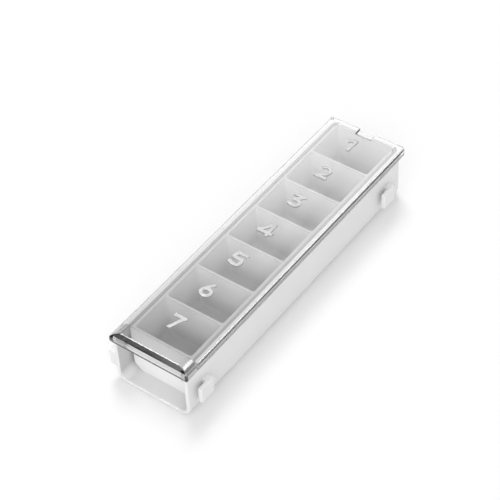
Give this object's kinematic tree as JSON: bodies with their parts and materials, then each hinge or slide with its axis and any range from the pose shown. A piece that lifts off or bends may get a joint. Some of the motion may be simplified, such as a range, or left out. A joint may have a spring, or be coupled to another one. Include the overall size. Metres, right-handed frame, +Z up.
{
  "type": "pill organizer",
  "caption": "Long box with a row of day cells under a clear sliding lid that hooks over side rails, with a raised pull lip, an open finger hollow and side link hooks.",
  "frame": {"origin": "on the surface that the box stands on, below the middle of the closed object", "axes": "+Y along the length, away from the lid's pull lip; +Z up; +X to the right when the lip faces the viewer"},
  "size_m": [0.035, 0.125, 0.023],
  "materials": {
    "tray_plastic": "satin, slightly translucent white",
    "cell_plastic": "satin white",
    "lid_clear": "clear, polished"
  },
  "bodies": {
    "tray": {"outer_tray": "tray_plastic", "cell_strip": "cell_plastic"},
    "lid": {"slide_lid": "lid_clear"}
  },
  "joints": [
    {"name": "lid_slide", "type": "slide", "parent": "tray", "child": "lid", "axis": [0, -1, 0], "range_m": [0, 0.117]}
  ]
}
